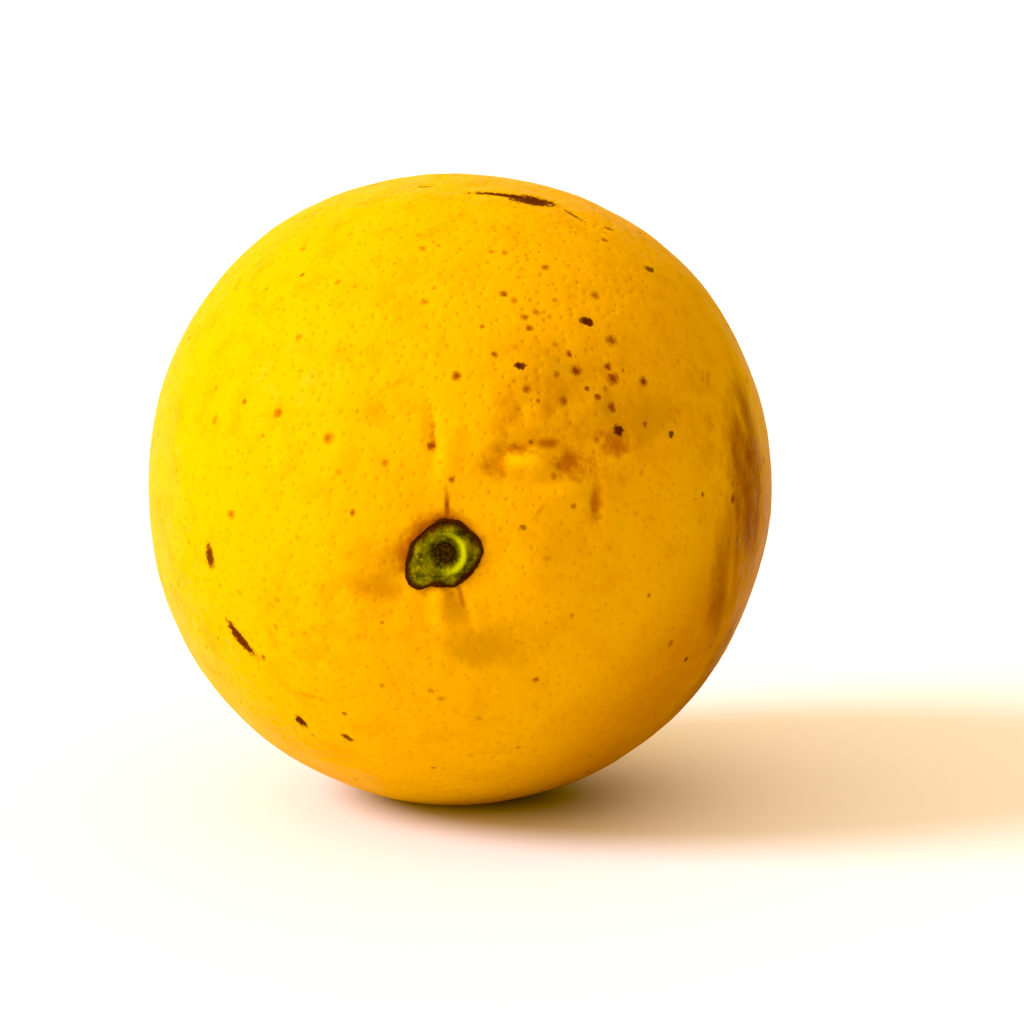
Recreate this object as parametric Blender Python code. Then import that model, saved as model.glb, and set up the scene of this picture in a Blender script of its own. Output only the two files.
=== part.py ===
"""A sweet orange lying on its side, with its green button and the woody end of its stalk.

Lengths are in metres and +Z is up. The origin is the centre of the small flat spot that the fruit
rests on. The stem axis is level and runs along Y: the button faces -Y and the blossom end faces +Y.
"""

import math

import bmesh
import bpy
from mathutils import Vector
from mathutils.bvhtree import BVHTree

# The fruit's overall size and the spot that it rests on.
FRUIT_WIDTH = 0.072
FRUIT_HEIGHT = 0.072
FRUIT_LENGTH = 0.074
REST_SPOT_RADIUS = 0.0075

# The shallow hollow round the button, and the faint furrows that run out from the button's edge.
HOLLOW_RADIUS = 0.0095
HOLLOW_DEPTH = 0.0009
FURROW_COUNT = 7
FURROW_DEPTH = 0.00035
FURROW_LENGTH = 0.0122

# The small round scar at the blossom end, with a low nib in its middle.
SCAR_RADIUS = 0.0024
SCAR_DEPTH = 0.0005
NIB_RADIUS = 0.0009
NIB_HEIGHT = 0.0003

# Unevenness of the cross-section: waves round the stem axis, share of the radius, degrees to a crest.
# The crests turn a little from the stem end to the blossom end, and the stem end is slightly slimmer.
SWELLS = ((3, 0.0047, 17.0), (4, 0.0051, 38.0), (5, 0.0016, 63.0))
SWELL_TWIST = math.radians(30.0)
STEM_END_TAPER = 0.012

# Pieces that meet keep this gap between them.
FIT_GAP = 0.0003

# The woody stub of the stalk, standing in the button's cup.
STUB_RADIUS = 0.0011
STUB_HEIGHT = 0.0006
STUB_CROWN = 0.00012

# The button: a raised ring round the cup, and five lobes outside the ring, one of them longer.
CUP_RADIUS = STUB_RADIUS + FIT_GAP
CUP_FLOOR_THICKNESS = 0.0004
RING_WIDTH = 0.0018
RING_HEIGHT = 0.0014
LOBE_COUNT = 5
LOBE_LENGTH = 0.0011
LONG_LOBE_LENGTH = 0.0025
LOBE_THICKNESS = 0.00055
NOTCH_DEPTH = 0.0008
LONG_LOBE = 3
FIRST_LOBE_ANGLE = math.radians(3.0)
RING_FOOT_RADIUS = CUP_RADIUS + RING_WIDTH
BUTTON_RADIUS = RING_FOOT_RADIUS + LOBE_LENGTH

# Facets: steps round the stem axis, and rings from end to end, closer together towards the ends.
FRUIT_STEPS = 60
FRUIT_RINGS = 44
RING_CROWDING = 0.66
CALYX_STEPS = 50
STUB_STEPS = 20

STEM_AXIS = Vector((0.0, 1.0, 0.0))


def clear_scene():
    for thing in list(bpy.data.objects):
        bpy.data.objects.remove(thing, do_unlink=True)


def make_material(name, color, roughness):
    material = bpy.data.materials.new(name)
    material.use_nodes = True
    shader = material.node_tree.nodes["Principled BSDF"]
    shader.inputs["Base Color"].default_value = (*color, 1.0)
    shader.inputs["Roughness"].default_value = roughness
    shader.inputs["Metallic"].default_value = 0.0
    return material


def add_object(name, bm, material, sharp_angle):
    bmesh.ops.recalc_face_normals(bm, faces=bm.faces)
    if bm.calc_volume(signed=True) < 0.0:
        bmesh.ops.reverse_faces(bm, faces=bm.faces)
    mesh = bpy.data.meshes.new(name)
    bm.to_mesh(mesh)
    bm.free()
    mesh.shade_smooth()
    mesh.set_sharp_from_angle(angle=math.radians(sharp_angle))
    mesh.materials.append(material)
    piece = bpy.data.objects.new(name, mesh)
    bpy.context.scene.collection.objects.link(piece)
    return piece


def fade(distance, reach):
    """1 at no distance, 0 from reach onwards, with no kink at either end."""
    return math.cos(0.5 * math.pi * min(distance / reach, 1.0)) ** 2


def turned(profile, steps):
    """A solid turned round the stem axis from (radius, place along Y) points that start and end on it."""
    bm = bmesh.new()
    points = [bm.verts.new((radius, along, 0.0)) for radius, along in profile]
    edges = [bm.edges.new(pair) for pair in zip(points, points[1:])]
    bmesh.ops.spin(
        bm,
        geom=points + edges,
        cent=(0.0, 0.0, 0.0),
        axis=STEM_AXIS,
        angle=math.tau,
        steps=steps,
        use_merge=True,
    )
    bmesh.ops.remove_doubles(bm, verts=bm.verts, dist=1e-7)
    return bm


def polar(point):
    """A point's distance from the stem axis, and its angle round it from +X towards +Z."""
    return math.hypot(point.x, point.z), math.atan2(point.z, point.x)


# ---- The fruit ---------------------------------------------------------------------------------


def fruit_profile():
    """Half an oval from the stem end to the blossom end, with its points closer together at both."""
    points = []
    for ring in range(FRUIT_RINGS + 1):
        share = ring / FRUIT_RINGS
        angle = math.pi * share - 0.5 * RING_CROWDING * math.sin(math.tau * share)
        points.append((0.5 * FRUIT_WIDTH * math.sin(angle), -0.5 * FRUIT_LENGTH * math.cos(angle)))
    return points


def swell(radius, along, turn):
    """How far a point of the oval moves away from or towards the stem axis, as a factor."""
    level = min(2.0 * radius / FRUIT_WIDTH, 1.0)
    towards_stem = -2.0 * along / FRUIT_LENGTH
    twist = 0.5 * SWELL_TWIST * towards_stem
    factor = 1.0 - STEM_END_TAPER * towards_stem * level**2
    for waves, share, crest in SWELLS:
        factor += share * level**waves * math.cos(waves * (turn - math.radians(crest) - twist))
    return factor


def end_relief(radius, turn, towards_stem):
    """How deep the hollow and its furrows, or the blossom-end scar, lie below the oval."""
    if not towards_stem:
        return SCAR_DEPTH * fade(radius, SCAR_RADIUS) - NIB_HEIGHT * fade(radius, NIB_RADIUS)
    depth = HOLLOW_DEPTH * fade(radius, HOLLOW_RADIUS)
    across = (0.5 + 0.5 * math.cos(FURROW_COUNT * turn)) ** 3
    from_middle = abs(radius - BUTTON_RADIUS - 0.5 * FURROW_LENGTH)
    return depth + FURROW_DEPTH * across * fade(from_middle, 0.5 * FURROW_LENGTH)


def shape_fruit(bm):
    for vert in bm.verts:
        radius, turn = polar(vert.co)
        along = vert.co.y
        factor = swell(radius, along, turn)
        inward = 1.0 if along < 0.0 else -1.0
        depth = end_relief(radius * factor, turn, along < 0.0)
        vert.co = Vector((vert.co.x * factor, along + inward * depth, vert.co.z * factor))


def extremes(bm, axis):
    places = [vert.co[axis] for vert in bm.verts]
    return min(places), max(places)


def size_fruit(bm):
    """Brings the fruit to its size, sets it down and cuts its flat spot. Returns its axis's height."""
    spot_share = 2.0 * REST_SPOT_RADIUS / FRUIT_WIDTH
    uncut_height = 2.0 * FRUIT_HEIGHT / (1.0 + math.sqrt(1.0 - spot_share**2))
    for axis, size in enumerate((FRUIT_WIDTH, FRUIT_LENGTH, uncut_height)):
        low, high = extremes(bm, axis)
        scale = Vector((1.0, 1.0, 1.0))
        scale[axis] = size / (high - low)
        bmesh.ops.scale(bm, vec=scale, verts=bm.verts)
    stem_end, blossom_end = extremes(bm, 1)
    axis_height = FRUIT_HEIGHT - extremes(bm, 2)[1]
    shift = Vector((0.0, -0.5 * (stem_end + blossom_end), axis_height))
    bmesh.ops.translate(bm, vec=shift, verts=bm.verts)
    cut = bmesh.ops.bisect_plane(
        bm,
        geom=bm.verts[:] + bm.edges[:] + bm.faces[:],
        dist=1e-6,
        plane_co=(0.0, 0.0, 0.0),
        plane_no=(0.0, 0.0, -1.0),
        clear_outer=True,
    )
    rim = [item for item in cut["geom_cut"] if isinstance(item, bmesh.types.BMEdge)]
    bmesh.ops.contextual_create(bm, geom=rim)
    return axis_height


def make_fruit(material):
    """Returns the fruit and the height of its stem axis above the surface that it rests on."""
    bm = turned(fruit_profile(), FRUIT_STEPS)
    shape_fruit(bm)
    axis_height = size_fruit(bm)
    return add_object("fruit", bm, material, sharp_angle=9.0), axis_height


# ---- The button and the stub ---------------------------------------------------------------------


def seat_of(fruit):
    """A function that gives the place along Y of the fruit's stem end at an X and a Z."""
    tree = BVHTree.FromPolygons(
        [vert.co for vert in fruit.data.vertices],
        [tuple(face.vertices) for face in fruit.data.polygons],
    )

    def seat(x, z):
        hit = tree.ray_cast(Vector((x, -FRUIT_LENGTH, z)), STEM_AXIS)[0]
        return hit.y

    return seat


def lobe_length(turn):
    """How far the button reaches beyond its ring in a direction: points with rounded notches between."""
    place = (turn - FIRST_LOBE_ANGLE) * LOBE_COUNT / math.tau
    nearest = round(place)
    tip = LONG_LOBE_LENGTH if nearest % LOBE_COUNT == LONG_LOBE else LOBE_LENGTH
    notch = LOBE_LENGTH - NOTCH_DEPTH
    return notch + (tip - notch) * (1.0 - math.sin(math.pi * abs(place - nearest)))


def calyx_profile():
    """Radius and height above the seat, from the middle of the underside round to the cup's floor."""
    points = [(BUTTON_RADIUS * share, 0.0) for share in (0.0, 0.2, 0.4, 0.6, 0.8, 0.95)]
    points += [(BUTTON_RADIUS, 0.3 * LOBE_THICKNESS), (BUTTON_RADIUS, 0.8 * LOBE_THICKNESS)]
    points.append((RING_FOOT_RADIUS + 0.7 * LOBE_LENGTH, LOBE_THICKNESS))
    crest_radius = CUP_RADIUS + 0.5 * RING_WIDTH
    for share in (0.0, 0.25, 0.5, 0.75, 1.0):
        rise = 0.5 - 0.5 * math.cos(math.pi * share)
        radius = RING_FOOT_RADIUS + share * (crest_radius - RING_FOOT_RADIUS)
        points.append((radius, LOBE_THICKNESS + rise * (RING_HEIGHT - LOBE_THICKNESS)))
    points.append((CUP_RADIUS + 0.25 * RING_WIDTH, 0.93 * RING_HEIGHT))
    points.append((CUP_RADIUS, CUP_FLOOR_THICKNESS + 0.5 * (RING_HEIGHT - CUP_FLOOR_THICKNESS)))
    points += [(CUP_RADIUS, CUP_FLOOR_THICKNESS), (0.0, CUP_FLOOR_THICKNESS)]
    return points


def seated(bm, seat, axis_height, lift):
    """Moves a piece from its own level onto the fruit's stem end, which it then follows."""
    for vert in bm.verts:
        x, z = vert.co.x, vert.co.z + axis_height
        vert.co = Vector((x, seat(x, z) - lift - vert.co.y, z))


def make_calyx(seat, axis_height, material):
    bm = turned(calyx_profile(), CALYX_STEPS)
    for vert in bm.verts:
        radius, turn = polar(vert.co)
        if radius > RING_FOOT_RADIUS:
            beyond_ring = (radius - RING_FOOT_RADIUS) / LOBE_LENGTH
            stretch = (RING_FOOT_RADIUS + beyond_ring * lobe_length(turn)) / radius
            vert.co.x *= stretch
            vert.co.z *= stretch
    seated(bm, seat, axis_height, FIT_GAP)
    return add_object("calyx", bm, material, sharp_angle=40.0)


def make_stem_stub(seat, axis_height, material):
    edge = STUB_HEIGHT - STUB_CROWN
    profile = [(0.0, 0.0), (0.5 * STUB_RADIUS, 0.0), (0.9 * STUB_RADIUS, 0.0)]
    profile += [(STUB_RADIUS, 0.15 * edge), (STUB_RADIUS, 0.8 * edge), (0.9 * STUB_RADIUS, edge)]
    profile += [(0.5 * STUB_RADIUS, edge + 0.7 * STUB_CROWN), (0.0, STUB_HEIGHT)]
    bm = turned(profile, STUB_STEPS)
    seated(bm, seat, axis_height, CUP_FLOOR_THICKNESS + 2.0 * FIT_GAP)
    return add_object("stem_stub", bm, material, sharp_angle=40.0)


def main():
    clear_scene()
    peel = make_material("orange_peel", (0.95, 0.42, 0.01), 0.45)
    green = make_material("green_button", (0.16, 0.2, 0.01), 0.6)
    wood = make_material("brown_wood", (0.09, 0.03, 0.01), 0.85)
    fruit, axis_height = make_fruit(peel)
    seat = seat_of(fruit)
    make_calyx(seat, axis_height, green)
    make_stem_stub(seat, axis_height, wood)


main()
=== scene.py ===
# %% [markdown]
# # Dressing a sweet orange
# An engineer's model fixes where everything is: a plain fruit, a plain green button and a plain woody
# stalk end. This lesson gives each of them its real surface. We start by loading that model, because every
# size and place below is read from it instead of being typed in again.

# %% Load the plain model and measure it
import math
import bpy
import numpy as np
from mathutils import Matrix, Vector
from mathutils.kdtree import KDTree


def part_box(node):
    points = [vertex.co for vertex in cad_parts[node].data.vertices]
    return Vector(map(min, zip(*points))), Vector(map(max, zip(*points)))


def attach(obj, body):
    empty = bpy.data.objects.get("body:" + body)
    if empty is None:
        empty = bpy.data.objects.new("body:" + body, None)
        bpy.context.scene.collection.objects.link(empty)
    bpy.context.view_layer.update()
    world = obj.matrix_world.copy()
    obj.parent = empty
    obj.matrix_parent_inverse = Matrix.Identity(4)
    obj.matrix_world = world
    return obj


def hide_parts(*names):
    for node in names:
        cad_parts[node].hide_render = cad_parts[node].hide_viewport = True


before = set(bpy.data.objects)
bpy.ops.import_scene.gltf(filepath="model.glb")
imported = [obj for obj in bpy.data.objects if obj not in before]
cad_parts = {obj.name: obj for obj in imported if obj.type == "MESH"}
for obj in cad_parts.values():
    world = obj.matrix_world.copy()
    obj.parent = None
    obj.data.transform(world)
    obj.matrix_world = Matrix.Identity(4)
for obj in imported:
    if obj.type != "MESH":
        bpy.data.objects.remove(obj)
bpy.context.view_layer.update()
MM = 0.001
fruit_low, fruit_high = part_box("fruit")
stub_low, stub_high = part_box("stem_stub")
fruit_middle = 0.5 * (fruit_low + fruit_high)
fruit_size = fruit_high - fruit_low
fruit_radius = 0.5 * fruit_size.x
stem_axis = 0.5 * (stub_low + stub_high)


def in_mm(sides):
    """Lengths in millimetres, short enough to print."""
    return [round(side / MM, 2) for side in sides]


print("fruit", in_mm(fruit_size), "mm")

# %% [markdown]
# ## Small helpers
# Blender's operators work on whatever is selected and active, as they do under a person's hand. So before
# each step everything else is deselected, and when a piece's modifiers are right they are applied. Two kinds
# of modifier come back on one piece after another, so each has a helper as well: Subdivision Surface rounds a
# mesh off, and Displace with a soft Clouds texture makes it as uneven as anything that grew.


# %% Helpers: pick one piece, name it, and apply its modifiers
def pick_only(piece):
    bpy.ops.object.select_all(action="DESELECT")
    piece.select_set(True)
    bpy.context.view_layer.objects.active = piece


def named(piece, name):
    piece.name = name
    piece.data.name = name
    return piece


def apply_modifiers(piece):
    pick_only(piece)
    for modifier in list(piece.modifiers):
        bpy.ops.object.modifier_apply(modifier=modifier.name)


# %% Helpers: round a piece off, and make it uneven
def add_rounding(piece):
    rounding = piece.modifiers.new("rounding", "SUBSURF")
    rounding.levels = rounding.render_levels = 2


def add_unevenness(piece, label, spread, height, depth):
    """Clouds of one spread push the surface in and out by half a height; depth is how crumbly they are."""
    clouds = bpy.data.textures.new(label, "CLOUDS")
    clouds.noise_scale = spread
    clouds.noise_depth = depth
    unevenness = piece.modifiers.new(label, "DISPLACE")
    unevenness.texture = clouds
    unevenness.texture_coords = "LOCAL"
    unevenness.strength = height
    unevenness.mid_level = 0.5


# %% [markdown]
# ## The peel, step one: an even ball
# Peel has a pore every millimetre or so, all over, so it needs a mesh that is equally fine everywhere. A UV
# sphere crowds its faces at the poles. A cube that is halved again and again, and blown up into a ball after
# each halving, keeps its squares nearly the same size from corner to corner.

# %% Halve a cube seven times, rounding it each time
HALVINGS = 7
bpy.ops.object.select_all(action="DESELECT")
bpy.ops.mesh.primitive_cube_add(size=fruit_size.x, location=fruit_middle)
peel = named(bpy.context.object, "peel")
bpy.ops.object.transform_apply(location=True, rotation=False, scale=False)
bpy.ops.object.mode_set(mode="EDIT")
for halving in range(HALVINGS):
    bpy.ops.mesh.select_all(action="SELECT")
    bpy.ops.mesh.subdivide(number_cuts=1)
    bpy.ops.transform.tosphere(value=1.0)
bpy.ops.object.mode_set(mode="OBJECT")
print("peel squares", len(peel.data.polygons))

# %% Stretch the ball to the fruit's box
ball_size = peel.dimensions.copy()
stretch = Vector((fruit_size[axis] / ball_size[axis] for axis in range(3)))
bpy.ops.object.mode_set(mode="EDIT")
bpy.ops.mesh.select_all(action="SELECT")
bpy.ops.transform.resize(value=stretch, center_override=fruit_middle)
bpy.ops.object.mode_set(mode="OBJECT")
print("stretched by", [round(side, 3) for side in stretch])

# %% [markdown]
# ## The peel, step two: the fruit's own shape
# The plain fruit holds the real proportions: slightly squared shoulders, a shallow hollow round the button
# and the flat spot underneath. A Shrinkwrap modifier lays the fine ball onto it. The plain fruit has flat
# facets, so a copy is first rounded with Subdivision Surface, and a light Smooth irons out what is left.

# %% Make a rounded copy of the plain fruit to wrap onto
SAME_PLACE = 0.001 * MM
pick_only(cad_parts["fruit"])
bpy.ops.object.duplicate()
form = named(bpy.context.object, "wrapping_form")
bpy.ops.object.mode_set(mode="EDIT")
bpy.ops.mesh.select_all(action="SELECT")
bpy.ops.mesh.remove_doubles(threshold=SAME_PLACE)
bpy.ops.mesh.tris_convert_to_quads()
bpy.ops.object.mode_set(mode="OBJECT")
add_rounding(form)
apply_modifiers(form)
print("form faces", len(form.data.polygons))

# %% Wrap the ball onto the copy, then remove the copy
IRONING_STROKES = 24
wrap = peel.modifiers.new("wrap", "SHRINKWRAP")
wrap.target = form
wrap.wrap_method = "PROJECT"
wrap.use_negative_direction = True
wrap.use_positive_direction = True
ironing = peel.modifiers.new("ironing", "SMOOTH")
ironing.factor = 0.5
ironing.iterations = IRONING_STROKES
apply_modifiers(peel)
bpy.data.objects.remove(form, do_unlink=True)
print("wrapped size", in_mm(peel.dimensions))

# %% [markdown]
# ## The peel, step three: natural unevenness
# No orange is a clean curve: the peel swells and sinks by a few tenths of a millimetre over the segments
# inside. This could be left to the material, but it shows in the outline too, so it is done in the mesh: one
# broad unevenness and one finer.

# %% Broad swells, then a fine quilting
add_unevenness(peel, "swells", 17.0 * MM, 0.6 * MM, 1)
add_unevenness(peel, "quilting", 3.0 * MM, 0.13 * MM, 1)
apply_modifiers(peel)
print("uneven size", in_mm(peel.dimensions))

# %% [markdown]
# ## The peel, step four: pores
# Each pore is a tiny dent over an oil gland. They are packed evenly but not in rows, as seeds are in a
# sunflower, so their places follow the sunflower's golden angle round the stem axis, each nudged a little at
# random. A noise texture would be quicker, but its cells aren't round and can't be picked out one by one. The
# same places serve twice: they say how deep to sink the mesh, and face attributes pass them on to the
# material, so that colour and dent always coincide.

# %% Scatter the pores like sunflower seeds
PORE_SPACING = 1.25 * MM
PORE_NUDGE = 0.24 * PORE_SPACING / fruit_radius
AREA_PER_PORE = 0.87 * PORE_SPACING**2
GOLDEN_ANGLE = math.pi * (3.0 - math.sqrt(5.0))
chance = np.random.default_rng(8)
pore_count = round(4.0 * math.pi * fruit_radius**2 / AREA_PER_PORE)
seed = np.arange(pore_count)
level = 1.0 - (2.0 * seed + 1.0) / pore_count
ring = np.sqrt(1.0 - level**2)
seed_turn = GOLDEN_ANGLE * seed
pore_places = np.stack((ring * np.cos(seed_turn), -level, ring * np.sin(seed_turn)), axis=1)
pore_places += chance.normal(scale=PORE_NUDGE, size=pore_places.shape)
pore_places /= np.linalg.norm(pore_places, axis=1, keepdims=True)
pore_sizes = chance.uniform(0.26, 0.46, pore_count) * MM
pore_depths = chance.uniform(0.2, 1.0, pore_count)
print("pores", pore_count)

# %% [markdown]
# Some pores have turned brown, most of them in a few patches. A place on the peel is given by two angles, as
# on a globe whose pole is the button: degrees round the stem axis, counted from the fruit's right-hand side
# upwards, and degrees away from the button.


# %% Turn some of them brown
def on_peel(around, from_button):
    """The direction from the fruit's middle at the two angles."""
    turn, polar = math.radians(around), math.radians(from_button)
    return Vector((math.sin(polar) * math.cos(turn), -math.cos(polar), math.sin(polar) * math.sin(turn)))


def angles_between(directions, others):
    """Angles in radians between unit directions."""
    return np.arccos(np.clip(directions @ others, -1.0, 1.0))


# around, from the button, spread in degrees, share of the pores that are brown
clusters = (
    (50, 39, 12, 0.22),
    (105, 45, 22, 0.03),
    (225, 42, 12, 0.05),
    (250, 120, 16, 0.12),
    (130, 110, 20, 0.12),
)
LIKELY_ANYWHERE = 0.03
likelihood = np.full(pore_count, LIKELY_ANYWHERE)
for around, from_button, spread, share in clusters:
    apart = angles_between(pore_places, np.array(on_peel(around, from_button)))
    likelihood += share * np.exp(-((np.degrees(apart) / spread) ** 2))
browned = chance.random(pore_count) < likelihood
pore_stains = np.where(browned, 0.1 + 0.8 * chance.random(pore_count) ** 2.6, 0.0)
pore_sizes = np.where(browned, pore_sizes * chance.uniform(1.0, 1.6, pore_count), pore_sizes)
print("brown pores", int(browned.sum()))

# %% [markdown]
# Some specks have grown larger than one pore. They join the same list with their own size and darkness, and
# the ordinary pores under them are taken out, so that each speck is whole.

# %% Add the larger specks
# around, from the button, size across in mm, darkness
specks = (
    (87, 30, 1.1, 0.7), (76, 35, 0.8, 0.6), (57, 36, 0.8, 0.45), (57, 41, 0.8, 0.7), (53, 39, 1.3, 0.75),
    (47, 44, 1.0, 0.7), (44, 43, 1.5, 0.7), (38, 48, 1.2, 0.8), (51, 33, 0.9, 0.6), (44, 38, 0.9, 0.7),
    (39, 39, 1.1, 0.7), (63, 31, 0.9, 0.6), (71, 44, 0.9, 0.6), (69, 42, 0.9, 0.6), (58, 56, 1.2, 0.5),
    (70, 57, 1.0, 0.5), (50, 49, 1.4, 0.6), (96, 45, 1.0, 0.4), (79, 58, 0.9, 0.35), (125, 18, 0.9, 0.4),
    (4, 61, 1.1, 0.8), (96, 58, 1.0, 0.4), (98, 18, 1.0, 0.8), (138, 28, 1.2, 0.5), (144, 39, 1.2, 0.5),
    (175, 41, 1.1, 0.5), (115, 55, 0.9, 0.35), (128, 48, 0.9, 0.3), (156, 52, 1.0, 0.35), (120, 70, 1.0, 0.3),
)
speck_places = np.array([on_peel(*speck[:2]) for speck in specks])
speck_widths = np.array([speck[2] for speck in specks]) * MM
apart = angles_between(pore_places, speck_places.T) * fruit_radius
clear = (apart > speck_widths).all(axis=1)
pore_places = np.concatenate((pore_places[clear], speck_places))
pore_sizes = np.concatenate((pore_sizes[clear], 0.7 * speck_widths))
pore_depths = np.concatenate((pore_depths[clear], np.full(len(specks), 0.8)))
pore_stains = np.concatenate((pore_stains[clear], [min(1.3 * speck[3], 1.0) for speck in specks]))
pore_count = len(pore_places)
print("specks", len(specks), "pores crowded out", int((~clear).sum()))

# %% [markdown]
# The mesh and the material both ask which pore is nearest. A KD-tree answers that at once, where comparing
# every vertex with every pore would take minutes.

# %% Find each vertex's and each face's nearest pore
pore_tree = KDTree(pore_count)
for number, place in enumerate(pore_places):
    pore_tree.insert(place, number)
pore_tree.balance()


def nearest_pores(points):
    """The number of the nearest pore to each point, and how far away it is over the surface."""
    towards = points - np.array(fruit_middle)
    towards /= np.linalg.norm(towards, axis=1, keepdims=True)
    found = [pore_tree.find(direction)[1:] for direction in towards]
    numbers = np.array([number for number, apart in found])
    return numbers, np.array([apart for number, apart in found]) * fruit_radius


corner_places = np.empty(len(peel.data.vertices) * 3)
peel.data.vertices.foreach_get("co", corner_places)
corner_places = corner_places.reshape(-1, 3)
face_places = np.empty(len(peel.data.polygons) * 3)
peel.data.polygons.foreach_get("center", face_places)
face_places = face_places.reshape(-1, 3)
corner_pores, corner_gaps = nearest_pores(corner_places)
face_pores = nearest_pores(face_places)[0]
print("furthest from a pore", round(corner_gaps.max() / MM, 2), "mm")

# %% [markdown]
# ## The peel, step five: folds and scars
# The peel dips where the button sits, with a ridge and a few folds beside it, and the scars left by twigs are
# slightly sunken. They could be sculpted by hand, but a list is easier to adjust: each is placed by the same
# two angles, then come its length and width in millimetres and its lean, which is the turn of its long side
# away from the line to the button. None is put at exactly 0 degrees from the button, because the line to the
# button has no direction there.


# %% The scars and folds
def spot_frame(around, from_button, lean):
    """A spot's centre on the peel, and its long, cross and outward directions."""
    direction = on_peel(around, from_button)
    centre = Vector((direction[axis] * 0.5 * fruit_size[axis] for axis in range(3)))
    outward = Vector((centre[axis] / fruit_size[axis] ** 2 for axis in range(3))).normalized()
    to_button = (Vector((0.0, -1.0, 0.0)) + outward * outward.y).normalized()
    sideways = outward.cross(to_button)
    turn = math.radians(lean)
    long_way = math.cos(turn) * to_button + math.sin(turn) * sideways
    return fruit_middle + centre, long_way, outward.cross(long_way), outward


# around, from the button, length, width, lean, strength
scars = (
    (76, 80, 7.5, 3.6, 107, 1.0),
    (80, 80, 12.0, 1.6, 98, 1.0),
    (68, 79, 4.2, 0.8, 62, 0.7),
    (96, 83, 2.2, 1.0, 75, 0.7),
    (61, 80, 1.8, 0.9, 130, 0.6),
    (61, 74, 1.3, 0.9, 140, 0.6),
    (51, 74, 2.0, 1.3, 150, 0.85),
    (57, 50, 2.5, 1.4, 118, 1.0),
    (68, 35, 1.7, 1.1, 105, 1.0),
    (33, 38, 1.6, 1.7, 50, 1.0),
    (187, 48, 3.6, 2.0, 86, 0.95),
    (208, 47, 6.6, 2.0, 110, 1.0),
    (233, 50, 2.5, 1.8, 56, 1.0),
    (244, 46, 2.2, 1.2, 80, 0.9),
    (17, 14, 1.2, 0.9, 160, 0.6),
    (329, 58, 1.0, 0.8, 0, 0.8),
    (24, 48, 1.1, 0.9, 30, 0.9),
    (150, 118, 8.0, 1.4, 40, 0.9),
    (20, 128, 4.0, 1.6, 120, 0.8),
    (300, 140, 3.0, 1.2, 70, 0.8),
    (215, 132, 2.4, 1.4, 20, 0.8),
)
# around, from the button, length, width, lean, height in mm, which is negative in a furrow
folds = (
    (180, 1, 24.0, 24.0, 0, -0.7),
    (352, 18, 15.0, 12.0, 90, 0.35),
    (266, 10, 8.0, 3.6, 10, 0.6),
    (287, 11, 7.0, 2.2, 176, -0.5),
    (312, 10, 7.0, 5.0, 45, 0.15),
    (97, 20, 11.0, 2.6, 178, -0.45),
    (87, 18, 10.0, 4.0, 170, 0.4),
    (212, 14, 7.0, 4.5, 150, -0.2),
    (61, 18, 6.5, 3.6, 150, -0.35),
    (55, 23, 9.0, 2.4, 134, -0.7),
    (46, 20, 9.0, 3.6, 130, 0.6),
    (35, 28, 10.0, 5.0, 145, -0.45),
    (17, 28, 9.0, 2.6, 71, -0.5),
    (25, 22, 9.0, 5.0, 160, 0.3),
    (38, 39, 11.0, 5.0, 60, -0.25),
    (60, 36, 12.0, 5.0, 100, 0.25),
    (150, 12, 8.0, 2.4, 5, -0.15),
    (118, 27, 5.5, 5.0, 0, -0.14),
)
print("scars", len(scars), "folds", len(folds))

# %% Add up how far each vertex goes in or out
PORE_DEPTH = 0.11 * MM
SCAR_DEPTH = 0.14 * MM
PORE_BRIM = 1.3
SAME_SIDE = -8.0 * MM
closeness = np.clip(corner_gaps / (PORE_BRIM * pore_sizes[corner_pores]), 0.0, 1.0)
offsets = -PORE_DEPTH * pore_depths[corner_pores] * (1.0 - closeness**2) ** 2
relief = [(*scar[:5], -SCAR_DEPTH * scar[5]) for scar in scars]
relief += [(*fold[:5], fold[5] * MM) for fold in folds]
for around, from_button, length, width, lean, height in relief:
    centre, long_way, cross_way, outward = spot_frame(around, from_button, lean)
    reach = corner_places - np.array(centre)
    along = reach @ np.array(long_way) / (0.5 * length * MM)
    across = reach @ np.array(cross_way) / (0.5 * width * MM)
    same_side = reach @ np.array(outward) > SAME_SIDE
    offsets += np.where(same_side, height * np.clip(1.0 - along**2 - across**2, 0.0, 1.0) ** 2, 0.0)
print("in or out by", in_mm((offsets.min(), offsets.max())), "mm")

# %% Paint the ups and downs as vertex weights and move the mesh by them
TOO_SLIGHT = 0.005
for label, way in (("sunken", -1.0), ("raised", 1.0)):
    amounts = np.clip(way * offsets, 0.0, None)
    most = amounts.max()
    painted = peel.vertex_groups.new(name=label)
    for number in np.nonzero(amounts > TOO_SLIGHT * most)[0]:
        painted.add([int(number)], float(amounts[number] / most), "REPLACE")
    moving = peel.modifiers.new(label, "DISPLACE")
    moving.vertex_group = painted.name
    moving.mid_level = 0.0
    moving.strength = way * most
    print(label, "by up to", round(most / MM, 2), "mm")
apply_modifiers(peel)

# %% Note each face's nearest pore for the material
for label, kind, field, values in (
    ("pore_place", "FLOAT_VECTOR", "vector", pore_places[face_pores]),
    ("pore_size", "FLOAT", "value", pore_sizes[face_pores]),
    ("pore_depth", "FLOAT", "value", pore_depths[face_pores]),
    ("pore_stain", "FLOAT", "value", pore_stains[face_pores]),
):
    note = peel.data.attributes.new(label, kind, "FACE")
    note.data.foreach_set(field, values.astype(np.float32).ravel())
pick_only(peel)
bpy.ops.object.shade_smooth()
print("notes on the faces", [note.name for note in peel.data.attributes if note.name.startswith("pore")])

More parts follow.
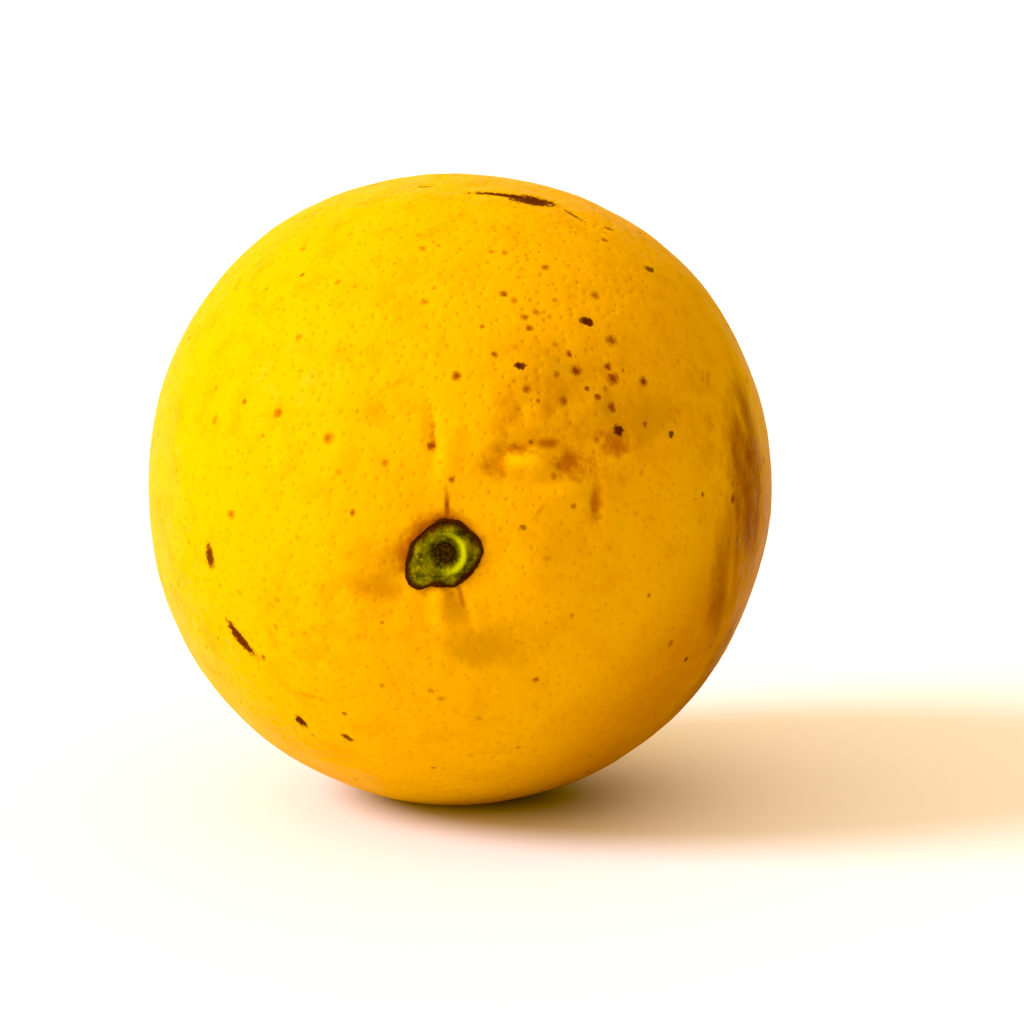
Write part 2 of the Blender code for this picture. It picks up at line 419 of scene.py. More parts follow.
# %% [markdown]
# ## The flat spot
# The fruit's weight presses it flat where it rests. The lowest vertices are selected by their height and
# squashed onto the floor's level.

# %% Press the lowest vertices flat
PRESSED_BELOW = 0.12 * MM
bpy.ops.object.mode_set(mode="EDIT")
bpy.ops.mesh.select_mode(type="VERT")
bpy.ops.mesh.select_all(action="DESELECT")
bpy.ops.object.mode_set(mode="OBJECT")
for corner in peel.data.vertices:
    corner.select = corner.co.z < PRESSED_BELOW
bpy.ops.object.mode_set(mode="EDIT")
bpy.ops.transform.resize(value=(1.0, 1.0, 0.0), center_override=(0.0, 0.0, 0.0))
bpy.ops.object.mode_set(mode="OBJECT")
print("pressed vertices", sum(corner.select for corner in peel.data.vertices))

# %% [markdown]
# ## The button
# The button is the dried green base of the flower: blunt withered lobes, a raised ring and a cup in the
# middle. It starts as a thin cylinder that faces forward. Its front face is inset ring by ring, each ring
# raised or sunk, as a lathe would cut it. A profile could be spun instead, but insets keep one vertex column
# for each direction, which is what draws the lobes out afterwards.


# %% Helpers: where the peel's front is, and a cylinder with its front face picked
IN_FRONT = -60.0 * MM


def peel_front(across, up):
    """How far back the peel's front lies at a place across and up."""
    place = peel.ray_cast(Vector((across, IN_FRONT, up)), Vector((0.0, 1.0, 0.0)))[1]
    return place.y


def add_turned_piece(name, spokes, radius, height, back):
    """A cylinder on the stem axis, left in edit mode with its front face selected."""
    bpy.ops.object.select_all(action="DESELECT")
    bpy.ops.mesh.primitive_cylinder_add(
        vertices=spokes,
        radius=radius,
        depth=height,
        location=(stem_axis.x, back - 0.5 * height, stem_axis.z),
        rotation=(math.radians(90.0), 0.0, 0.0),
    )
    piece = named(bpy.context.object, name)
    bpy.ops.object.transform_apply(location=True, rotation=True, scale=True)
    bpy.ops.object.mode_set(mode="EDIT")
    bpy.ops.mesh.select_mode(type="FACE")
    bpy.ops.mesh.select_all(action="DESELECT")
    bpy.ops.object.mode_set(mode="OBJECT")
    for face in piece.data.polygons:
        face.select = face.normal.y < -0.9
    bpy.ops.object.mode_set(mode="EDIT")
    return piece


seat = peel_front(stem_axis.x, stem_axis.z)
print("the button's seat", round(seat / MM, 2), "mm")

# %% Turn the button's rings out of a cylinder
button_radius = 4.3 * MM
sunk = 0.15 * MM
button = add_turned_piece("button", 84, button_radius, 0.4 * MM, seat + sunk)
# each ring's radius and how high it stands, in mm, from the rim inwards
rings = (
    (4.15, 0.1), (3.9, 0.12), (3.6, 0.06), (3.3, 0.1),
    (3.1, 0.4), (2.9, 0.75), (2.65, 0.95), (2.4, 0.98), (2.15, 0.85), (1.9, 0.65),
    (1.65, 0.4), (1.4, 0.18), (1.2, 0.1), (0.8, 0.05), (0.4, 0.05),
)
radius, height = button_radius, 0.0
for next_radius, next_height in rings:
    thickness = radius - next_radius * MM
    bpy.ops.mesh.inset(thickness=thickness, depth=next_height * MM - height)
    radius, height = next_radius * MM, next_height * MM
bpy.ops.object.mode_set(mode="OBJECT")
print("button faces", len(button.data.polygons))

# %% Draw the lobes out and lay them on the peel
ring_foot = 3.1 * MM
# the lobes' outline: degrees from the right-hand side upwards, then the distance from the middle in mm
outline = (
    (4, 4.4), (22, 4.1), (40, 3.85), (58, 3.85), (75, 3.75), (92, 3.7), (112, 3.4), (136, 3.35), (160, 3.75),
    (185, 4.0), (206, 4.9), (222, 5.6), (236, 5.15), (248, 4.1), (262, 3.8), (284, 4.2), (305, 3.8),
    (333, 3.85), (364, 4.4),
)
outline_angles = [math.radians(angle) for angle, distance in outline]
outline_distances = [distance * MM for angle, distance in outline]
rim_widths = []
for corner in button.data.vertices:
    across = Vector((corner.co.x - stem_axis.x, corner.co.z - stem_axis.z))
    angle = math.atan2(across.y, across.x)
    edge = float(np.interp(angle, outline_angles, outline_distances, period=math.tau))
    share = (across.length - ring_foot) / (button_radius - ring_foot)
    if share > 0.0:
        across *= (ring_foot + share * (edge - ring_foot)) / across.length
    corner.co.x = stem_axis.x + across.x
    corner.co.z = stem_axis.z + across.y
    corner.co.y += peel_front(corner.co.x, corner.co.z) - seat
    rim_widths.append(edge - across.length)
note = button.data.attributes.new("to_edge", "FLOAT", "POINT")
note.data.foreach_set("value", rim_widths)
print("button", in_mm(button.dimensions))

# %% Round the button off and wrinkle it
add_rounding(button)
add_unevenness(button, "warp", 1.6 * MM, 0.5 * MM, 2)
add_unevenness(button, "wrinkles", 0.45 * MM, 0.22 * MM, 2)
apply_modifiers(button)
bpy.ops.object.shade_smooth()
print("button faces", len(button.data.polygons))

# %% [markdown]
# ## The stalk end
# When the fruit was picked the stalk snapped off inside the button and left a short stub of dark wood, frayed
# and a little hollow where the pith was. It is turned out of a cylinder in the same way, and a fine
# unevenness frays it.

# %% Build the woody stub
stub_radius = 0.5 * (stub_high.x - stub_low.x)
stub_foot = 0.2 * MM
stub = add_turned_piece("stalk_end", 48, stub_radius, 0.55 * MM, seat - stub_foot)
# how far in each ring goes and how far it rises, in mm
for step, rise in ((0.1, 0.06), (0.15, 0.08), (0.2, -0.06), (0.2, -0.14), (0.2, -0.06)):
    bpy.ops.mesh.inset(thickness=step * MM, depth=rise * MM)
bpy.ops.object.mode_set(mode="OBJECT")
add_rounding(stub)
add_unevenness(stub, "fraying", 0.3 * MM, 0.3 * MM, 2)
apply_modifiers(stub)
bpy.ops.object.shade_smooth()
print("stub", in_mm(stub.dimensions))


# %% [markdown]
# ## Materials
# Colours are easiest to judge as they look on a screen, so the first helper turns the familiar 0 to 255
# values into the linear ones that the shaders work in. The second adds and joins nodes. It could be done node
# by node, but the peel has well over a hundred, and this way a material reads from top to bottom.


# %% A helper for colours, and one for wiring nodes
def tint(red, green, blue):
    """A screen colour as linear red, green, blue and full opacity."""
    linear = []
    for value in (red, green, blue):
        share = value / 255.0
        linear.append(share / 12.92 if share <= 0.04045 else ((share + 0.055) / 1.055) ** 2.4)
    return (*linear, 1.0)


class Wiring:
    """Adds nodes to one tree and joins them. Most helpers return the new node's output socket."""

    def __init__(self, tree):
        self.tree = tree

    def node(self, kind, inputs=(), **settings):
        made = self.tree.nodes.new(kind)
        for setting, value in settings.items():
            setattr(made, setting, value)
        for socket, value in dict(inputs).items():
            self.feed(made.inputs[socket], value)
        return made

    def feed(self, socket, value):
        if isinstance(value, bpy.types.NodeSocket):
            self.tree.links.new(value, socket)
        else:
            socket.default_value = value

    def math(self, operation, *values, clamp=False):
        made = self.node("ShaderNodeMath", operation=operation, use_clamp=clamp)
        for socket, value in zip(made.inputs, values):
            self.feed(socket, value)
        return made.outputs[0]

    def vector(self, operation, *values):
        made = self.node("ShaderNodeVectorMath", operation=operation)
        for socket, value in zip(made.inputs, values):
            self.feed(socket, value)
        return made.outputs["Value" if operation in ("LENGTH", "DISTANCE", "DOT_PRODUCT") else "Vector"]

    def blend(self, factor, under, over, kind="MIX"):
        made = self.node("ShaderNodeMix", data_type="RGBA", blend_type=kind)
        self.feed(made.inputs["Factor"], factor)
        self.feed(made.inputs["A"], under)
        self.feed(made.inputs["B"], over)
        return made.outputs["Result"]

    def ramp(self, value, start, end, low=0.0, high=1.0):
        made = self.node("ShaderNodeMapRange", interpolation_type="SMOOTHSTEP")
        for socket, number in zip(made.inputs, (value, start, end, low, high)):
            self.feed(socket, number)
        return made.outputs["Result"]

    def noise(self, position, scale, detail=2.0, roughness=0.5):
        made = self.node("ShaderNodeTexNoise", {"Vector": position, "Scale": scale, "Detail": detail})
        made.inputs["Roughness"].default_value = roughness
        return made.outputs["Fac"]


def new_group(name, inputs, outputs):
    """A shader node group with named sockets. Returns it, its wiring, its input and its output sockets."""
    tree = bpy.data.node_groups.new(name, "ShaderNodeTree")
    for label, kind in inputs:
        tree.interface.new_socket(label, in_out="INPUT", socket_type=kind)
    for label, kind in outputs:
        tree.interface.new_socket(label, in_out="OUTPUT", socket_type=kind)
    wiring = Wiring(tree)
    given = wiring.node("NodeGroupInput").outputs
    result = wiring.node("NodeGroupOutput").inputs
    return tree, wiring, given, result


# %% [markdown]
# ### A pore, as the material sees it
# Every face knows the direction of its nearest pore from the fruit's middle. The shader compares that with
# its own direction, so it knows the distance to the pore's centre far more finely than the mesh could show.

# %% The pore group
pore_group, wiring, given, result = new_group(
    "Pore",
    [("Position", "NodeSocketVector"), ("Middle", "NodeSocketVector"), ("Radius", "NodeSocketFloat")],
    [("Pit", "NodeSocketFloat"), ("Stain", "NodeSocketFloat")],
)
towards = wiring.vector("NORMALIZE", wiring.vector("SUBTRACT", given["Position"], given["Middle"]))
place = wiring.node("ShaderNodeAttribute", attribute_name="pore_place").outputs["Vector"]
size = wiring.node("ShaderNodeAttribute", attribute_name="pore_size").outputs["Fac"]
depth = wiring.node("ShaderNodeAttribute", attribute_name="pore_depth").outputs["Fac"]
stain = wiring.node("ShaderNodeAttribute", attribute_name="pore_stain").outputs["Fac"]
apart = wiring.math("MULTIPLY", wiring.vector("DISTANCE", towards, place), given["Radius"])
share = wiring.math("DIVIDE", apart, size)
pit = wiring.ramp(share, 0.0, 1.0, 1.0, 0.0)
wiring.feed(result["Pit"], wiring.math("MULTIPLY", pit, depth))
grain = wiring.noise(given["Position"], 2400.0, 2.0)
wobbly = wiring.math("ADD", share, wiring.math("MULTIPLY", wiring.math("SUBTRACT", grain, 0.5), 1.2))
wiring.feed(result["Stain"], wiring.math("MULTIPLY", wiring.ramp(wobbly, 0.1, 1.1, 1.0, 0.0), stain))
print("pore group nodes", len(pore_group.nodes))

# %% [markdown]
# ### A mark on the peel
# Scars, smears and broad tinted patches could be painted on an image, but then their edges would be only as
# fine as the image. One group draws them all instead. It moves and turns the position into the mark's own
# frame, divides by its half length and half width, and roughens the edge with a grain from outside.

# %% The mark group
mark_group, wiring, given, result = new_group(
    "Mark",
    [
        ("Position", "NodeSocketVector"),
        ("Grain", "NodeSocketFloat"),
        ("Centre", "NodeSocketVector"),
        ("Turn", "NodeSocketVector"),
        ("Half size", "NodeSocketVector"),
        ("Raggedness", "NodeSocketFloat"),
        ("Core", "NodeSocketFloat"),
    ],
    [("Mask", "NodeSocketFloat")],
)
local = wiring.node("ShaderNodeMapping", vector_type="TEXTURE")
wiring.feed(local.inputs["Vector"], given["Position"])
wiring.feed(local.inputs["Location"], given["Centre"])
wiring.feed(local.inputs["Rotation"], given["Turn"])
wiring.feed(local.inputs["Scale"], given["Half size"])
ragged = wiring.math("MULTIPLY", wiring.math("SUBTRACT", given["Grain"], 0.5), given["Raggedness"])
reach = wiring.math("ADD", wiring.vector("LENGTH", local.outputs["Vector"]), ragged)
wiring.feed(result["Mask"], wiring.ramp(reach, given["Core"], 1.0, 1.0, 0.0))
print("mark group nodes", len(mark_group.nodes))


# %% [markdown]
# ### Laying many marks
# All marks of one kind end up in one mask: the strongest one wins at each place. Raggedness says how much the
# grain eats into a mark's edge, and the core is the share of it that is fully tinted.


# %% A helper that lays a list of marks
MARK_HALF_HEIGHT = 5.0 * MM


def lay_marks(wiring, position, grain, marks, raggedness, core):
    """The mask of a whole list of marks, each given as in the scars' list."""
    mask = None
    for around, from_button, length, width, lean, strength in marks:
        centre, long_way, cross_way, outward = spot_frame(around, from_button, lean)
        mark = wiring.node("ShaderNodeGroup", node_tree=mark_group)
        wiring.feed(mark.inputs["Position"], position)
        wiring.feed(mark.inputs["Grain"], grain)
        wiring.feed(mark.inputs["Centre"], tuple(centre))
        turn = Matrix((long_way, cross_way, outward)).transposed().to_euler()
        wiring.feed(mark.inputs["Turn"], tuple(turn))
        wiring.feed(mark.inputs["Half size"], (0.5 * length * MM, 0.5 * width * MM, MARK_HALF_HEIGHT))
        wiring.feed(mark.inputs["Raggedness"], raggedness)
        wiring.feed(mark.inputs["Core"], core)
        one = wiring.math("MULTIPLY", mark.outputs["Mask"], strength)
        mask = one if mask is None else wiring.math("MAXIMUM", one, mask)
    return mask


# %% [markdown]
# ### Where the marks are
# Smears gather along the folds, and several of them are painted shade on the shaded side of a fold. Khaki
# patches are where a little green still shows through. Weathered patches are duller and browner, and those on
# the right-hand side are painted shade. On the right-hand side the peel is rubbed brown in long streaks,
# partly real rubbing and partly painted shade where that side turns from the light. Beside the deeper folds
# lies a painted highlight on the lit lip, and a dry brown halo round the button is partly painted shade
# around it.

# %% The lists of marks
# around, from the button, length, width, lean, strength
# Smears, several of them painted shade: the dark crescents along the folds near the button and the dark line
# beside the ridge at 287 degrees.
smears_and_fold_shade = (
    (30, 36, 5.0, 4.4, 150, 0.9),
    (60, 17, 5.0, 3.6, 100, 0.8),
    (55, 22, 6.0, 2.2, 140, 0.9),
    (34, 27, 7.5, 5.0, 146, 0.95),
    (17, 28, 8.0, 1.9, 71, 0.9),
    (22, 17, 3.2, 0.8, 28, 0.5),
    (97, 21, 6.5, 1.1, 178, 0.7),
    (118, 27, 4.6, 4.0, 0, 0.3),
    (106, 31, 5.0, 1.2, 100, 0.4),
    (29, 65, 3.6, 1.3, 36, 0.55),
    (30, 64, 2.2, 1.0, 36, 0.5),
    (230, 41, 4.0, 1.5, 126, 0.6),
    (178, 9, 6.0, 3.6, 40, 0.35),
    (212, 14, 6.0, 3.6, 150, 0.4),
    (287, 9, 5.0, 1.0, 176, 0.8),
    (150, 110, 12.0, 7.0, 100, 0.5),
)
khaki_patches = (
    (33, 43, 15.0, 10.0, 150, 0.9),
    (59, 36, 15.0, 12.0, 122, 0.7),
    (45, 30, 14.0, 9.0, 135, 0.4),
    (289, 18, 16.0, 10.0, 70, 1.0),
    (272, 11, 9.0, 4.6, 10, 0.9),
    (203, 13, 15.0, 10.0, 60, 1.0),
    (70, 130, 22.0, 14.0, 60, 0.8),
)
# Duller, browner patches. Those on the right-hand side are painted shade where that side turns from the
# light, not weathering.
weathered_and_shaded_patches = (
    (45, 33, 34.0, 26.0, 130, 1.0),
    (20, 60, 34.0, 20.0, 80, 0.6),
    (330, 66, 34.0, 24.0, 100, 0.7),
    (215, 30, 26.0, 20.0, 100, 0.3),
    (160, 120, 60.0, 40.0, 90, 0.45),
    (330, 110, 40.0, 30.0, 90, 0.35),
)
# Brown streaks on the right-hand side, partly real rubbing and partly painted shade where that side turns
# from the light. The first one is painted shade in a fold.
rubs_and_shade = (
    (46, 26, 4.2, 1.8, 135, 0.8),
    (3, 69, 34.0, 15.0, 86, 1.0),
    (346, 60, 22.0, 7.0, 106, 0.9),
    (18, 74, 18.0, 8.0, 74, 0.8),
    (325, 74, 26.0, 9.0, 100, 0.7),
    (89, 7.5, 5.0, 0.9, 1, 0.9),
)
# Painted highlights: paler yellow beside the deeper folds, where a fold's lip would catch the light.
painted_highlights = (
    (48, 21, 8.0, 2.6, 132, 0.6),
    (29, 22, 7.0, 3.0, 150, 0.6),
    (80, 20, 9.0, 4.0, 175, 0.5),
)
# A dry brown ring round the button, partly painted shade around it.
halo_and_shade = ((190, 1, 11.8, 10.2, 30, 0.9),)
mark_lists = (scars, smears_and_fold_shade, khaki_patches, weathered_and_shaded_patches, rubs_and_shade, painted_highlights, halo_and_shade)
print("marks", sum(len(marks) for marks in mark_lists))

# %% [markdown]
# ### The peel's colour, in layers
# The colour is built up as a painter would: the ground first, then broad clouds, then smaller and smaller
# marks. The ground runs from a clear yellow high on the left to a deeper orange, and on to brown low on the
# right. The yellow side faces the key light and is partly the peel's own tone and partly painted light. The
# brown is painted shade where the fruit turns away from the light. Each layer is one Mix node, with the
# layer's mask as its factor.

# %% The ground: yellow, orange and brown sides
peel_material = bpy.data.materials.new("orange_peel")
peel_material.use_nodes = True
peel_tree = peel_material.node_tree
wiring = Wiring(peel_tree)
shader = peel_tree.nodes["Principled BSDF"]
position = wiring.node("ShaderNodeTexCoord").outputs["Object"]

yellow = tint(234, 172, 4)
orange = tint(218, 163, 4)
shaded_brown = tint(166, 86, 3)
from_middle = wiring.vector("SUBTRACT", position, tuple(fruit_middle))
# The side facing the key light is yellower: partly the peel's own tone, partly painted light.
key_side = wiring.vector("DOT_PRODUCT", from_middle, (-0.78, -0.2, 0.5))
cloud = wiring.noise(position, 55.0, 3.0)
key_side = wiring.math("ADD", wiring.math("DIVIDE", key_side, fruit_radius), wiring.math("SUBTRACT", cloud, 0.5))
colour = wiring.blend(wiring.ramp(key_side, -0.9, 0.9), orange, yellow)
# Painted shade: the side low on the right, turned away from the key light, is browner.
shaded = wiring.math("DIVIDE", wiring.vector("DOT_PRODUCT", from_middle, (0.82, -0.1, -0.56)), fruit_radius)
shaded = wiring.math("ADD", shaded, wiring.math("MULTIPLY", wiring.math("SUBTRACT", cloud, 0.5), 0.3))
colour = wiring.blend(wiring.ramp(shaded, 0.62, 0.96, 0.0, 0.65), colour, shaded_brown)
print("ground nodes", len(peel_tree.nodes))

# %% Broad layers: mottling, weathered areas and painted shade, and khaki areas
broad_grain = wiring.noise(position, 320.0, 3.0, 0.6)
fine_grain = wiring.noise(position, 2400.0, 3.0, 0.65)
streak_grain = wiring.noise(wiring.vector("MULTIPLY", position, (1.0, 1.0, 0.3)), 420.0, 4.0, 0.6)
mottle = wiring.ramp(wiring.noise(position, 240.0, 4.0, 0.6), 0.45, 0.72, 0.0, 0.5)
colour = wiring.blend(mottle, colour, tint(208, 146, 4))
# Weathering and painted shade: browner patches, those on the right-hand side standing in for shade.
weathered_and_shaded = lay_marks(wiring, position, broad_grain, weathered_and_shaded_patches, 0.8, 0.0)
blotch = wiring.ramp(wiring.noise(position, 360.0, 3.0, 0.55), 0.4, 0.72)
colour = wiring.blend(wiring.math("MULTIPLY", weathered_and_shaded, blotch), colour, tint(186, 116, 4))
khaki = lay_marks(wiring, position, broad_grain, khaki_patches, 1.4, 0.1)
colour = wiring.blend(wiring.math("MULTIPLY", khaki, 0.85), colour, tint(196, 140, 2))
print("with the broad layers", len(peel_tree.nodes))

# %% Small layers: pores, painted highlights, smears and fold shade, specks, rubs and shade, the halo and its shade, and scars
pores = wiring.node("ShaderNodeGroup", node_tree=pore_group)
wiring.feed(pores.inputs["Position"], position)
wiring.feed(pores.inputs["Middle"], tuple(fruit_middle))
wiring.feed(pores.inputs["Radius"], fruit_radius)
pit = pores.outputs["Pit"]
colour = wiring.blend(wiring.math("MULTIPLY", pit, 0.28), colour, tint(214, 126, 8))
# Painted highlight beside the folds.
pale = lay_marks(wiring, position, broad_grain, painted_highlights, 0.5, 0.0)
colour = wiring.blend(pale, colour, tint(250, 190, 16))
patchy_grain = wiring.noise(position, 700.0, 4.0, 0.62)
# Real smears and painted fold shade.
smear_and_fold_shade = lay_marks(wiring, position, patchy_grain, smears_and_fold_shade, 2.2, 0.0)
colour = wiring.blend(smear_and_fold_shade, colour, tint(172, 98, 2))
stained = pores.outputs["Stain"]
colour = wiring.blend(stained, colour, tint(128, 44, 1))
# Partly real rubbing, partly painted shade.
rub_and_shade = lay_marks(wiring, position, streak_grain, rubs_and_shade, 1.4, 0.0)
colour = wiring.blend(rub_and_shade, colour, tint(136, 58, 1))
# Dried brown and painted shade round the button.
dried_and_shaded = lay_marks(wiring, position, broad_grain, halo_and_shade, 0.8, 0.6)
colour = wiring.blend(dried_and_shaded, colour, tint(160, 78, 4))
scar = lay_marks(wiring, position, fine_grain, scars, 1.5, 0.5)
colour = wiring.blend(scar, colour, tint(84, 24, 1))
wiring.feed(shader.inputs["Base Color"], colour)
print("with the small layers", len(peel_tree.nodes))

# %% [markdown]
# ### The peel's gloss and fine relief
# Peel is waxy, so it shines softly, and scars are duller. A little light enters the rind and comes out again,
# red travelling furthest, which Subsurface gives. The Bump node adds only what is finer than the mesh: the
# walls of the pores and a faint grain.

# %% Gloss, glow and grain
rough = wiring.ramp(broad_grain, 0.3, 0.7, 0.46, 0.58)
rough = wiring.math("ADD", rough, wiring.math("MULTIPLY", scar, 0.25))
wiring.feed(shader.inputs["Roughness"], rough)
shader.inputs["Specular IOR Level"].default_value = 0.1
shader.inputs["Specular Tint"].default_value = (1.0, 0.82, 0.5, 1.0)
shader.inputs["Subsurface Weight"].default_value = 0.12
shader.inputs["Subsurface Radius"].default_value = (1.0, 0.45, 0.1)
shader.inputs["Subsurface Scale"].default_value = 2.0 * MM
relief = wiring.math("SUBTRACT", wiring.math("MULTIPLY", fine_grain, 0.15), pit)
relief = wiring.math("SUBTRACT", relief, wiring.math("MULTIPLY", scar, 0.6))
bump = wiring.node("ShaderNodeBump", {"Height": relief, "Strength": 1.0, "Distance": 0.09 * MM})
wiring.feed(shader.inputs["Normal"], bump.outputs["Normal"])
peel.data.materials.append(peel_material)
print("peel material nodes", len(peel_tree.nodes))

# %% [markdown]
# ### The button's material
# The button is dull and blotchy green, dried to brown along its rim and in the cup, with one side of the ring
# still fresh. Distance from the stem axis places the cup and the ring, and the rim is found with the distance
# to the edge that was noted on the mesh.

# %% Green, with a fresher crest on the ring
RING_CREST = 2.1 * MM
CREST_WIDTH = 0.6 * MM
button_material = bpy.data.materials.new("green_button")
button_material.use_nodes = True
button_tree = button_material.node_tree
wiring = Wiring(button_tree)
shader = button_tree.nodes["Principled BSDF"]
position = wiring.node("ShaderNodeTexCoord").outputs["Object"]
from_axis = wiring.vector("SUBTRACT", position, tuple(stem_axis))
away = wiring.vector("LENGTH", wiring.vector("MULTIPLY", from_axis, (1.0, 0.0, 1.0)))
blotch = wiring.noise(position, 700.0, 4.0, 0.6)
speckle = wiring.noise(position, 2600.0, 3.0, 0.6)
green = wiring.blend(wiring.ramp(blotch, 0.35, 0.65), tint(54, 54, 2), tint(122, 116, 8))
green = wiring.blend(wiring.ramp(speckle, 0.52, 0.74, 0.0, 0.6), green, tint(172, 156, 60))
from_crest = wiring.math("ABSOLUTE", wiring.math("SUBTRACT", away, RING_CREST))
crest = wiring.ramp(from_crest, 0.0, CREST_WIDTH, 0.6, 0.0)
rightward = wiring.vector("DOT_PRODUCT", from_axis, (1.0, 0.0, -0.1))
crest = wiring.math("MULTIPLY", crest, wiring.ramp(rightward, -0.8 * MM, 2.0 * MM, 0.25, 1.5), clamp=True)
green = wiring.blend(crest, green, tint(180, 188, 12))
print("green nodes", len(button_tree.nodes))

# %% A dried rim and cup, and a dull wrinkled surface
to_edge = wiring.node("ShaderNodeAttribute", attribute_name="to_edge").outputs["Fac"]
to_edge = wiring.math("ADD", to_edge, wiring.math("MULTIPLY", wiring.math("SUBTRACT", blotch, 0.5), 0.9 * MM))
green = wiring.blend(wiring.ramp(to_edge, 0.35 * MM, 1.05 * MM, 1.0, 0.0), green, tint(56, 15, 1))
cup_edge = wiring.math("ADD", away, wiring.math("MULTIPLY", speckle, 0.7 * MM))
green = wiring.blend(wiring.ramp(cup_edge, 1.3 * MM, 2.1 * MM, 0.85, 0.0), green, tint(52, 34, 2))
wiring.feed(shader.inputs["Base Color"], green)
shader.inputs["Roughness"].default_value = 0.7
shader.inputs["Specular IOR Level"].default_value = 0.1
bump = wiring.node("ShaderNodeBump", {"Height": speckle, "Strength": 1.0, "Distance": 0.08 * MM})
wiring.feed(shader.inputs["Normal"], bump.outputs["Normal"])
button.data.materials.append(button_material)
print("button material nodes", len(button_tree.nodes))

# %% [markdown]
# ### The stalk's material
# Snapped wood is nearly black with paler fibre ends, so two browns are mixed by a fine noise.

# %% Wire the woody material
wood_material = bpy.data.materials.new("brown_wood")
wood_material.use_nodes = True
wood_tree = wood_material.node_tree
wiring = Wiring(wood_tree)
shader = wood_tree.nodes["Principled BSDF"]
position = wiring.node("ShaderNodeTexCoord").outputs["Object"]
speckle = wiring.noise(position, 3500.0, 3.0)
fibre = wiring.ramp(speckle, 0.35, 0.65)
wiring.feed(shader.inputs["Base Color"], wiring.blend(fibre, tint(12, 4, 1), tint(66, 42, 10)))
shader.inputs["Roughness"].default_value = 0.85
shader.inputs["Specular IOR Level"].default_value = 0.1
stub.data.materials.append(wood_material)
print("wood material nodes", len(wood_tree.nodes))

# %% [markdown]
# ## Tie the dressed pieces to the plain ones
# Each new piece now takes the place of the plain one that it was built over and moves with the same body. The
# whole fruit is one rigid body, so all three ride on the root.

# %% Say what each piece stands for
for piece, node, finish in (
    (peel, "fruit", "orange_peel"),
    (button, "calyx", "green_button"),
    (stub, "stem_stub", "brown_wood"),
):
    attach(piece, "root")
    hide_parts(node)
    print(piece.name, "stands for", node)

# %% [markdown]
# ## The studio
# The fruit stands on a plain pale floor. The floor is large enough to reach the horizon, so no edge shows,
# and it is rough enough to keep reflections out.

# %% Floor
bpy.ops.object.select_all(action="DESELECT")
bpy.ops.mesh.primitive_plane_add(size=12.0, location=(0.0, 0.0, 0.0))
floor = named(bpy.context.object, "floor")
floor_material = bpy.data.materials.new("pale_floor")
floor_material.use_nodes = True
floor_shader = floor_material.node_tree.nodes["Principled BSDF"]
floor_shader.inputs["Base Color"].default_value = (0.88, 0.88, 0.88, 1.0)
floor_shader.inputs["Roughness"].default_value = 0.7
floor.data.materials.append(floor_material)
print("floor", round(floor.dimensions.x, 1), "m across")

# %% [markdown]
# ### Light
# A broad warm glow, warmest near the floor, comes from everywhere except the right, which stays dark and
# shapes the fruit. One large, soft and slightly cool sun stands high on the left and throws the soft shadow
# to the right. What the camera sees behind the fruit is plain white, and it doesn't change the light.

# %% World
WARM_GLOW = (1.48, 1.11, 0.71, 1.0)
LOW_GLOW = (1.48, 0.86, 0.4, 1.0)
DARK_SIDE = (0.02, 0.01, 0.0, 1.0)
PLAIN_WHITE = (1.0, 0.99, 0.98, 1.0)
world = bpy.data.worlds.new("studio")
bpy.context.scene.world = world
world.use_nodes = True
world_wiring = Wiring(world.node_tree)
background = world.node_tree.nodes["Background"]
heading = world_wiring.node("ShaderNodeTexCoord").outputs["Generated"]
rightward = world_wiring.vector("DOT_PRODUCT", heading, (0.86, -0.1, -0.5))
upward = world_wiring.vector("DOT_PRODUCT", heading, (0.0, 0.0, 1.0))
glow = world_wiring.blend(world_wiring.ramp(upward, 0.0, 0.3), LOW_GLOW, WARM_GLOW)
surround = world_wiring.blend(world_wiring.ramp(rightward, -0.1, 0.5), glow, DARK_SIDE)
seen = world_wiring.node("ShaderNodeLightPath").outputs["Is Camera Ray"]
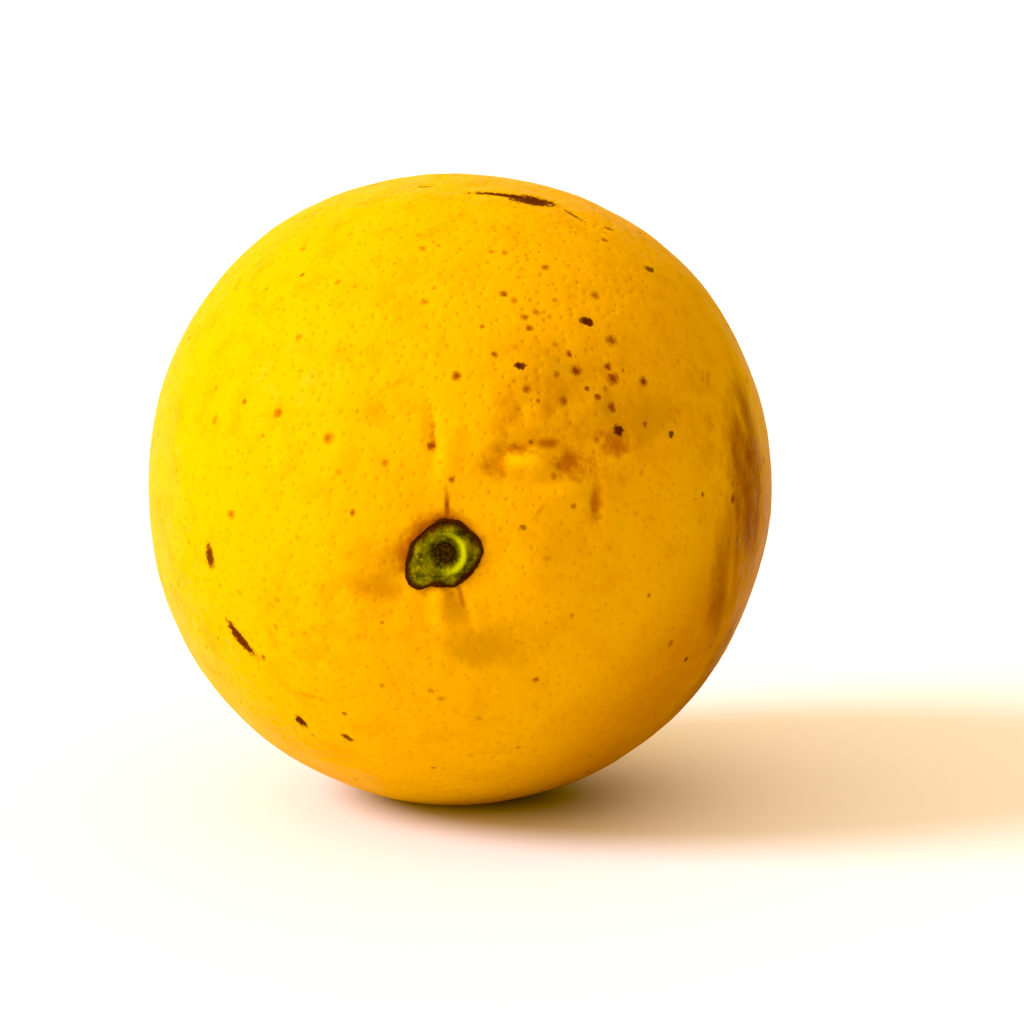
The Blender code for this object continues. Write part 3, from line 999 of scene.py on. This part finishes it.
world_wiring.feed(background.inputs["Color"], world_wiring.blend(seen, surround, PLAIN_WHITE))
print("world nodes", len(world.node_tree.nodes))

# %% Key light
key_direction = Vector((-0.8, -0.2, 0.56)).normalized()
key_data = bpy.data.lights.new("key", "SUN")
key_data.angle = math.radians(26.0)
key_data.energy = 0.84 * math.pi
key_data.color = (0.97, 1.0, 1.32)
key = bpy.data.objects.new("key", key_data)
key.rotation_euler = key_direction.to_track_quat("Z", "Y").to_euler()
bpy.context.scene.collection.objects.link(key)
print("key light", round(math.degrees(math.asin(key_direction.z))), "degrees up")

# %% [markdown]
# ### Camera
# A long lens from a little above flattens the view as in a catalogue. The lens is worked out from the
# distance and from the share of the frame that the fruit should fill. The plain Standard view keeps the
# colours as clear as they were mixed, and a slightly raised black level in blue takes the last blue out of
# the deepest yellows.

# %% Camera
CAMERA_DISTANCE = 0.72
CAMERA_AZIMUTH = math.radians(1.9)
CAMERA_ELEVATION = math.radians(11.3)
FRAME_SHARE = 0.61
SENSOR = 36.0
level_out = math.cos(CAMERA_ELEVATION)
towards_camera = Vector(
    (math.sin(CAMERA_AZIMUTH) * level_out, -math.cos(CAMERA_AZIMUTH) * level_out, math.sin(CAMERA_ELEVATION))
)
camera_data = bpy.data.cameras.new("camera")
camera_data.sensor_width = SENSOR
camera_data.lens = SENSOR * FRAME_SHARE * CAMERA_DISTANCE / fruit_size.x
camera_data.clip_start = 0.01
camera = bpy.data.objects.new("camera", camera_data)
aim = fruit_middle + Vector((6.0 * MM, 0.0, -3.0 * MM))
camera.location = aim + towards_camera * CAMERA_DISTANCE
camera.rotation_euler = towards_camera.to_track_quat("Z", "Y").to_euler()
bpy.context.scene.collection.objects.link(camera)
bpy.context.scene.camera = camera
print("lens", round(camera_data.lens, 1), "mm")

# %% View settings
view = bpy.context.scene.view_settings
view.view_transform = "Standard"
view.use_curve_mapping = True
view.curve_mapping.black_level = (0.0, 0.0, 0.025)
view.curve_mapping.update()
print("view", view.view_transform)
